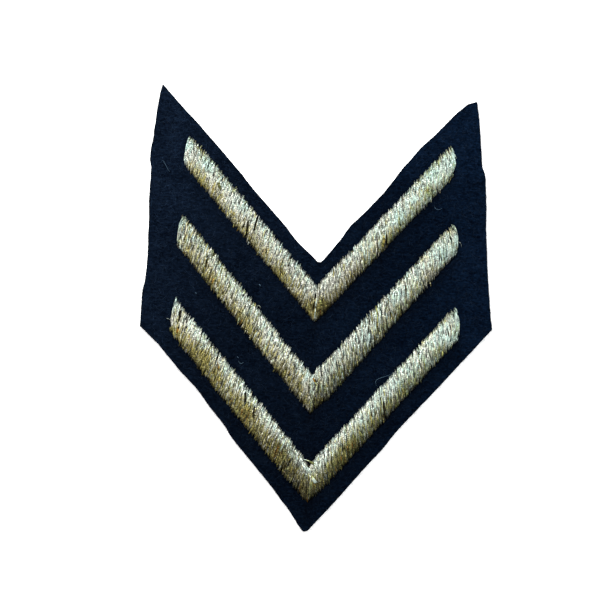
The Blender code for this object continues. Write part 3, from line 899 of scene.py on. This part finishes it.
# Where threads run. Of each, across is its place along the arm, first and last are the shares of the
# stitch that it covers, sink is how deep it lies, and tone goes from 0, dull, to 1, bright.
def threadRuns(barName, side, threads, joints, rng):
    bar, s = bars[barName], satin
    across, first, last = threads["across"], threads["first"], threads["last"]
    count, end = len(across), armRun(bar, side)
    headPull, headTip, headShare = tufts(across, end, s["headPitch"][side], s["headTooth"], rng)
    footPull, footTip, _ = tufts(across, end, s["footPitch"], s["footTooth"], rng)
    jitter = rng.normal(0, s["leanJitter"], (2, count))
    foot, _, endness = stitchLines(bar, side, np.clip(across + jitter[0], 0, end))
    _, head, _ = stitchLines(bar, side, np.clip(across + jitter[1], 0, end))
    way = unit(head - foot)
    headCut, footCut, bow, _ = ends[barName][side]
    corner = cornerShare(bar, side, across)
    footTip = footTip - footCut * corner
    foot = foot - way * (footTip + rng.normal(0, s["endJitter"], count))[:, None]
    headTip = headTip - bar["notch"] * hill((head[:, 0] - barPoint(bar)[0]) / s["notchRun"])
    headTip = headTip - headCut * corner
    head = head + way * (headTip + rng.normal(0, s["endJitter"], count))[:, None]
    length = np.linalg.norm(head - foot, axis=1, keepdims=True)
    normal = np.column_stack([way[:, 1], -way[:, 0]])  # to the right of the stitch

    step = np.arange(joints) / (joints - 1)
    step = 0.5 * step + 0.25 - 0.25 * np.cos(np.pi * step)  # joints lie closer near both ends
    t = first[:, None] + (last - first)[:, None] * step
    arch = np.sqrt(np.clip(4 * t * (1 - t), 0, 1))
    short = (last - first < s["shortShare"])[:, None]
    middle = (first + last)[:, None] / 2
    sideways = sway(t, s["wanderTurns"], s["wander"], rng) * arch**0.5
    sideways = sideways + rng.normal(0, s["slant"], (count, 1)) * (t - middle) * length * short
    drawn = headPull[:, None] * rising(t, *s["headDraw"]) + footPull[:, None] * rising(-t, *s["footDraw"])
    drawn = drawn + bow * endness[:, None] * arch**2
    plan = foot[:, None] + (head - foot)[:, None] * t[..., None]
    plan = plan + normal[:, None] * (sideways + side * drawn)[..., None]
    plan, gap, shade = pushedAside(plan)

    crown = scaled(stitching["crown"], stitching["endCrown"], endness[:, None])
    face = stitching["base"] + stitching["edge"] - s["radius"] + crown * arch**0.8
    ripple = sway(t, s["rippleTurns"], s["ripple"], rng)
    holes = np.minimum(t, 1 - t) * length  # how far the nearer of its two holes is
    tail = 1 - np.sin(np.pi * step)  # 1 at the thread's own ends
    duck = s["duck"] * tail**1.5 * eased(holes / s["duckRun"]) * short
    rib = s["rib"] * (1 - np.abs(headShare))[:, None]
    below = threads["sink"][:, None] * (0.35 + 0.65 * arch) - (ripple + rib) * arch + duck
    below = below + gap * slits["depth"]
    dive = eased((s["dive"] - holes) / s["dive"])
    height = (face - below) * (1 - dive) + s["diveTo"] * dive
    radii = s["radius"] * rng.uniform(*s["radii"], (count, 1)) * (1 - s["diveThin"] * dive)
    radii = radii * (1 - s["tailThin"] * tail * short)
    tints = threadTints(barName, side, threads, t, plan, below, shade, rng)
    return np.concatenate([plan, height[..., None]], axis=2), radii, tints


# How bright the threads are at each joint, with painted light and shade, how gold, and how much painted
# cool reflection they get.
def threadTints(barName, side, threads, t, plan, below, shade, rng):
    bar, look, s, d, tint = bars[barName], goldAndPaintedLight[barName], satin, paintedShade, tinting
    across = threads["across"][:, None]
    each = (len(across), 1)
    corner, headGold = cornerShare(bar, side, across), ends[barName][side][3]
    near, far = 1 - rising(across, *d["pointRun"]), rising(across, *d["endRun"])
    atHead = rising(t, *d["goldHeads"]) * far
    pointShare, endShare, pointSpread, endSpread = look[side]
    turned = rising(across / armRun(bar, side), *s["spreadTurn"])
    spread = pointSpread + (endSpread - pointSpread) * turned
    dullest, brightest = s["dullest"][side], s["brightest"][side]
    bright = (dullest + brightest) / 2 + (brightest - dullest) * (threads["tone"][:, None] - 0.5) * spread
    # Painted light and shade: each bar brighter or darker, and the lower part of a stitch painted darker
    # towards the bottom tip.
    low = 1 - rising(t, *d["lowRun"])
    bright = bright * look["bright"] * np.exp(d["perMetre"] * plan[..., 1] * low)
    # More painted light and shade: near the point and the end, along the stitch, in its recesses, deep in
    # slits and at the golder heads.
    for factor, share in (
        (pointShare, near * (d["pointHeads"] + (1 - d["pointHeads"]) * rising(-t, *d["pointRest"]))),
        (endShare, far * (1 - d["endHeads"] * rising(t, *d["endHeadsRun"]))),
        (d["foot"][side], 1 - rising(t, *d["footRun"])),
        (d["middle"], rising(t, *d["middleIn"]) * rising(-t, *d["middleOut"])),
        (d["head"], rising(t, *d["headRun"])),
        (1 - s["recessShade"], np.minimum(spread, 1) * eased(below / s["recess"])),
        (slits["bright"], np.minimum(1.5 * shade, 1) * (threads["sink"] > s["floatSink"])[:, None]),
        (1 - d["goldDark"] * headGold, atHead),
    ):
        bright = scaled(bright, factor, share)
    turn = look["turn"]
    gold = look["foot"] + (look["head"] - look["foot"]) * rising(t, turn[0], turn[1] - turn[0])
    gold = gold * s["sideGold"][side] * rng.uniform(*tint["goldTimes"], each)
    gold = gold + rng.normal(0, tint["goldPlus"], each)
    gold = gold + (rng.random(each) > 1 - tint["giltShare"]) * tint["gilt"]
    rightEnd = tint["rightEnd"] * far * (side > 0)
    gold = gold * (1 - s["endPale"] * np.maximum(corner, rightEnd)) + headGold * atHead
    # Painted reflection of a cooler light: towards the heads on the left, on the right arms, towards the
    # upper right tip and at the arms' ends.
    if side < 0:
        coolReflection = tint["coolReflectionLeft"] * rising(t, *tint["coolReflectionLeftRun"])
    else:
        coolReflection = tint["coolReflectionRight"] + tint["coolReflectionRightHeads"] * t
    tip = rising(plan[..., 0], *tint["coolReflectionTipOut"]) * rising(plan[..., 1], *tint["coolReflectionTipUp"])
    coolReflection = coolReflection + tint["coolReflectionTip"] * tip + s["endPale"] * corner**2
    coolReflection = coolReflection + rng.normal(0, tint["coolReflectionPlus"], each)
    for x, y, size, light, *more in paintedLightAndGoldPatches:
        golder, cooler = (*more, 0, 0)[:2]
        inside = hill(np.linalg.norm(plan * 1000 - (x, y), axis=2) / size)
        bright = bright * light**inside
        gold = gold + golder * inside
        coolReflection = coolReflection + cooler * inside
    return np.stack(np.broadcast_arrays(bright, gold, coolReflection), axis=2)


def satinArm(barName, side):
    bar, s = bars[barName], satin
    rng = np.random.default_rng(100 + 7 * list(bars).index(barName) + side)
    end, name = armRun(bar, side), f"{barName}_{'left' if side < 0 else 'right'}"
    across, sink = [], []
    for depth, spacing in s["deepLayers"]:
        row = np.arange(rng.uniform(0, spacing), end, spacing)
        across.append(row + rng.normal(0, 0.25 * spacing, len(row)))
        sink.append(np.full(len(row), depth))
    deep = {"across": np.clip(np.concatenate(across), 0, end), "sink": np.concatenate(sink)}
    count = len(deep["across"])
    deep.update({"first": np.zeros(count), "last": np.ones(count), "tone": rng.random(count)})
    deepRuns = threadRuns(barName, side, deep, s["deepJoints"], rng)
    deepPiece = layTubes(name + "_threads", *deepRuns, 5, s["flatness"])

    count = s["floats"]
    top = {"across": (np.arange(count) + rng.random(count)) / count * end}
    order = np.arange(count)[:, None] * np.array([0.7548776662, 0.569840291])  # even, but in no pattern
    middle, top["tone"] = ((order + rng.uniform(-0.05, 0.05, (count, 2))) % 1).T
    middle = middle * s["floatSpan"][1] + s["floatSpan"][0]
    half = rng.uniform(*s["floatHalf"], count) / s["stitchLength"]
    least = s["floatLeast"]
    top["first"], top["last"] = np.clip(middle - half, 0, 1 - least), np.clip(middle + half, least, 1)
    top["sink"] = rng.uniform(0, s["floatSink"], count)
    topRuns = threadRuns(barName, side, top, s["floatJoints"], rng)
    return deepPiece, layTubes(name + "_top_threads", *topRuns, 5, s["flatness"])


# The padding below the stitches: the bar's own form, drawn in on all sides.
def makeUnderlay(barName):
    p = padding
    bm = openMesh(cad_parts[barName].data, join=True)
    bm.normal_update()
    moves = [(vert, vert.normal.copy()) for vert in bm.verts]
    for vert, normal in moves:
        vert.co.x -= normal.x * p["drawnIn"]
        vert.co.y -= normal.y * p["drawnIn"]
        vert.co.z = p["base"] + (vert.co.z - stitching["base"]) * p["heightShare"]
    axes = {"use_axis_x": True, "use_axis_y": True, "use_axis_z": True}
    bmesh.ops.smooth_vert(bm, verts=bm.verts[:], factor=p["smooth"], **axes)
    return addPiece(barName + "_underlay", closeMesh(bm, barName + "_underlay"))


for barName in bars:
    underlay = dress(makeUnderlay(barName), underStitch)
    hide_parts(barName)
    for side in (-1, 1):
        for piece in satinArm(barName, side):
            dress(piece, threadMetal)
            print("stitched", piece.name, len(piece.data.polygons), "faces")


strays = {"joints": 12, "lieAt": 0.00006, "endSink": 0.0003, "coolReflection": 0.6}

# Threads that stray from their rows: x, y of three or four points in millimetres, the lift at the middle
# in hundredths, how many times as thick as the rest, and how bright, above 1 a painted highlight, and how
# gold at both ends.
strayThreads = (
    ((-1.5, -36.78, -0.12, -37.12, 1.38, -37.64), 42, 1, (1.7, 0.9), (0, 1.3)),  # jump stitch
    ((0.03, -37.52, 0.6, -37.62, 1.3, -37.9), 20, 0.8, (0.7, 0.9), (1.1, 1.3)),
    ((0.8, -40.6, 1.2, -41.4, 2.05, -42.6), 34, 1.5, (0.6, 6), (1.2, -0.6)),
    ((0.95, -40.75, 1.45, -41.5, 2.3, -42.4), 26, 1.4, (0.8, 6), (1, -0.6)),
    ((0.85, -40.9, 1.15, -41.7, 1.8, -42.65), 22, 1.4, (0.6, 5), (1, -0.5)),
    ((0.3, -39.6, 0.75, -40.4, 0.6, -41.4), 12, 0.9, (1.2, 1), (0.3, 0.8)),
    ((-1.33, -38.1, -0.77, -39.03, 0.04, -40.24), 8, 1.2, (1.6, 1.3), (0, 0.1)),
    ((-0.72, -38.3, -0.14, -39.25, 0.56, -40.59), 10, 1.2, (1.6, 1.3), (0, 0.2)),
    ((-0.04, -38.72, 0.38, -39.47, 0.82, -40.7), 8, 1.1, (1.5, 1.2), (0.1, 0.3)),
    ((-1.8, -37.6, -1.3, -38.56, -0.61, -39.77), 8, 1.1, (1.6, 1.3), (0, 0.1)),
    ((-0.4, -15.4, -0.32, -16.6, -0.4, -18.2), 8, 1.2, (1.6, 1.4), (0, 0.1)),
    ((0.05, -15.45, -0.05, -16, -0.15, -16.7), 6, 1.1, (1.5, 1.3), (0.1, 0.2)),
    ((0.45, -15.5, 0.52, -15.8, 0.62, -16.2), 8, 1.1, (1.5, 1.3), (0.1, 0.1)),
    ((0.2, -17.3, 0.7, -17.75, 0.95, -18.4), 22, 1.1, (1.5, 1.2), (0.7, 0.9)),
    ((0.05, -16.45, 0.2, -16.95, 0.45, -17.4), 14, 2.1, (0.7, 0.7), (1.9, 1.9)),
    ((-0.45, -18.1, -0.15, -20.3, -0.4, -22.2), 10, 0.9, (1.2, 0.9), (0.2, 0.5)),
    ((0.35, -19.4, 0.05, -21.8, 0.25, -24.1), 10, 0.9, (1, 0.8), (0.3, 0.8)),
    ((-0.3, -21.8, 0, -23.6, -0.1, -25.2), 8, 0.8, (0.9, 0.7), (0.6, 1)),
    ((-0.12, 3.7, -0.28, 2.3, -0.36, 0.9), 10, 1, (1.4, 1.3), (0.3, 0.1)),
    ((-0.36, 1.1, -0.44, -0.6, -0.5, -2.4), 10, 1, (1.3, 1.6), (0.2, 0.1)),
    ((0.55, 3.2, 0.85, 2.55, 1.05, 1.8), 16, 2.3, (1.2, 1.1), (1.2, 1.2)),
    ((33.9, 19.49, 34.77, 19.25, 35.2, 17.9), 14, 0.6, (0.35, 0.3), (0, 0.1)),
    ((-37.5, -3.44, -36.92, -3.51, -36.3, -3.84), 15, 0.6, (0.5, 0.8), (0.1, 0.1)),
    ((-26.5, 31.1, -26.03, 30.12, -25.48, 29.15), 12, 1.6, (0.3, 0.45), (1, 1.3)),
    ((-26.1, 31.2, -25.75, 30.3, -25.25, 29.5), 12, 1.2, (0.6, 0.4), (0.9, 1.2)),
    ((-15.75, 13.96, -15.3, 14.26, -14.8, 13.95, -14.7, 13.3), 24, 0.6, (1.3, 1), (0.2, 0.4)),
    ((-14.95, 0.35, -14.6, 0.95, -14.15, 0.6, -14.3, 0.1), 30, 0.7, (1.3, 1.1), (0.3, 0.4)),
    ((15.85, 20.16, 15.68, 18.65, 15.46, 17.01), 14, 1.5, (1.2, 1.2), (1.6, 1.5)),
    ((16.02, 19.4, 15.9, 18.1, 15.6, 16.8), 12, 1.2, (0.9, 1), (1.7, 1.5)),
    ((31.8, -8.1, 31.9, -8.7, 31.8, -9.4), 16, 1.7, (2, 2.2), (1.3, 1.3)),
    ((14.65, 2.5, 14.9, 1.3, 15.1, 0.1), 14, 1.7, (1.7, 1.4), (1.3, 1.5)),
    ((15.05, 0.85, 15.25, -1.2, 15.26, -3.15), 10, 1.1, (1.2, 0.9), (1.4, 1.6)),
    ((-24.1, -13.6, -23.8, -14.9, -23.7, -16), 8, 0.8, (0.7, 0.6), (1.8, 1.8)),
)

# Hairs and flecks of pale lint on the felt: x, y of their points in millimetres, and thickness.
lint = {
    "joints": 14, "lift": 0.00012,
    "hairs": (
        ((16.27, -17.87, 15.6, -16.4, 17.64, -15.2, 19.82, -13.93), 0.00003),
        ((-40.35, 36.01, -39.45, 34.6, -38.45, 33.11), 0.00003),
        ((27.9, 27.9, 28.7, 27.2, 29.9, 27.6), 0.000028),
        ((-18.9, -13.2, -18.2, -13.75, -17.6, -13.4), 0.000034),
        ((-14.75, 6.3, -14.5, 6.05, -14.35, 5.8), 0.00006),
        ((-30.55, 3.4, -30.35, 3.25, -30.3, 3), 0.00006),
        ((-19.2, -12, -19.05, -12.25, -18.85, -12.35), 0.00005),
    ),
}


def barTree(barName):
    bm = openMesh(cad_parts[barName].data)
    tree = BVHTree.FromBMesh(bm)
    bm.free()
    return tree


barTrees = [barTree(barName) for barName in bars]


# Heights of what lies uppermost along a way: a bar's crown, or the felt.
def topsAlong(way):
    tops = feltTop(way[:, 0], way[:, 1])
    for i, (x, y) in enumerate(way):
        hits = [tree.ray_cast(Vector((x, y, 0.01)), Vector((0, 0, -1)))[0] for tree in barTrees]
        tops[i] = max([tops[i]] + [hit.z for hit in hits if hit])
    return tops


# A smooth way through the points, in metres.
def smoothWay(points, joints):
    points = np.reshape(points, (-1, 2)) / 1000
    run = np.append(0, np.cumsum(np.linalg.norm(np.diff(points, axis=0), axis=1)))
    at = np.linspace(0, run[-1], joints)
    return np.column_stack([np.polyval(np.polyfit(run, axis, len(points) - 1), at) for axis in points.T])


def makeStrays():
    paths, radii, tints = [], [], []
    share = np.linspace(0, 1, strays["joints"])
    hump = np.sin(np.pi * share)
    for points, lift, thickness, bright, gold in strayThreads:
        way = smoothWay(points, strays["joints"])
        height = topsAlong(way) + strays["lieAt"]
        taut = np.interp(share, [0, 0.5, 1], [height[0], height.max(), height[-1]])
        height = taut * 0.5 + height * 0.5
        height += lift / 1e5 * hump - strays["endSink"] * (1 - hump) ** 3
        paths.append(np.column_stack([way, height]))
        radii.append(satin["radius"] * thickness * (0.45 + 0.55 * hump**0.4))
        bright, gold = np.interp(share, [0, 1], bright), np.interp(share, [0, 1], gold)
        tints.append(np.column_stack([bright, gold, np.full(len(share), strays["coolReflection"])]))
    return layTubes("loose_threads", np.array(paths), np.array(radii), np.array(tints), 6)


def makeLint():
    paths, radii = [], []
    hump = np.sin(np.pi * np.linspace(0, 1, lint["joints"]))
    for points, thickness in lint["hairs"]:
        way = smoothWay(points, lint["joints"])
        paths.append(np.column_stack([way, topsAlong(way) + thickness + lint["lift"] * hump]))
        radii.append(thickness * (0.5 + 0.5 * hump))
    paths = np.array(paths)
    return layTubes("felt_lint", paths, np.array(radii), np.ones(paths.shape), 4)


dress(makeStrays(), threadMetal)
dress(makeLint(), paleLint)
print("loose threads and lint laid")


view = {
    "middle": (-0.00433, 0.00285),  # under the middle of the picture
    "turn": 2.98,  # degrees
    "width": 0.15,  # metres across the picture
    "height": 1.2, "sensor": 36, "clip": (0.05, 20),
}

table = {
    "size": 2.5,
    "gap": 0.00005,  # the felt's fibres keep its underside this far off it
    "tone": (0.88, 0.9), "grain": 60, "glow": 0.75,
}

# Place, size in metres, watts and colour. They all point at the patch.
lights = {
    "window": ((-0.22, 0.62, 0.95), 0.28, 21, (1, 0.99, 0.96)),
    "sky": ((0.75, 0.45, 0.6), 0.5, 2, (0.8, 0.95, 1)),
    "lamp": ((-0.3, -0.8, 0.75), 0.6, 1, (1, 0.9, 0.72)),
}
roomLight = 0.27


def makeStage():
    bm = bmesh.new()
    bmesh.ops.create_grid(bm, x_segments=8, y_segments=8, size=table["size"])
    floor = addPiece("table_top", closeMesh(bm, "table_top"))
    floor.location.z = -table["gap"]
    white = (1, 1, 1, 1)
    finish = Finish("white_table", Roughness=0.85, Emission_Color=white, Emission_Strength=table["glow"])
    dark, light = table["tone"]
    grain = finish.cloudy(table["grain"])
    finish.wear(Base_Color=finish.ramp(grain, [(0.3, (dark,) * 3), (0.7, (light,) * 3)]))
    floor.data.materials.append(finish.material)
    world = bpy.data.worlds.new("pale_room")
    world.use_nodes = True
    background = world.node_tree.nodes["Background"]
    background.inputs["Color"].default_value = white
    background.inputs["Strength"].default_value = roomLight
    bpy.context.scene.world = world
    bpy.context.scene.view_settings.view_transform = "Standard"


def addLight(name, place, size, watts, colour):
    light = bpy.data.lights.new(name, "AREA")
    light.shape, light.size, light.energy, light.color = "DISK", size, watts, colour
    lamp = link(bpy.data.objects.new(name, light))
    lamp.location = place
    lamp.rotation_mode = "QUATERNION"
    lamp.rotation_quaternion = (-Vector(place)).to_track_quat("-Z", "Y")


def makeCamera():
    data = bpy.data.cameras.new("camera")
    data.sensor_width = view["sensor"]
    data.lens = view["sensor"] * view["height"] / view["width"]
    data.clip_start, data.clip_end = view["clip"]
    camera = link(bpy.data.objects.new("camera", data))
    camera.location = (*view["middle"], view["height"])
    camera.rotation_euler = (0, 0, math.radians(view["turn"]))
    bpy.context.scene.camera = camera


makeStage()
makeCamera()
for name, values in lights.items():
    addLight(name, *values)
print("stage, camera and lights set")
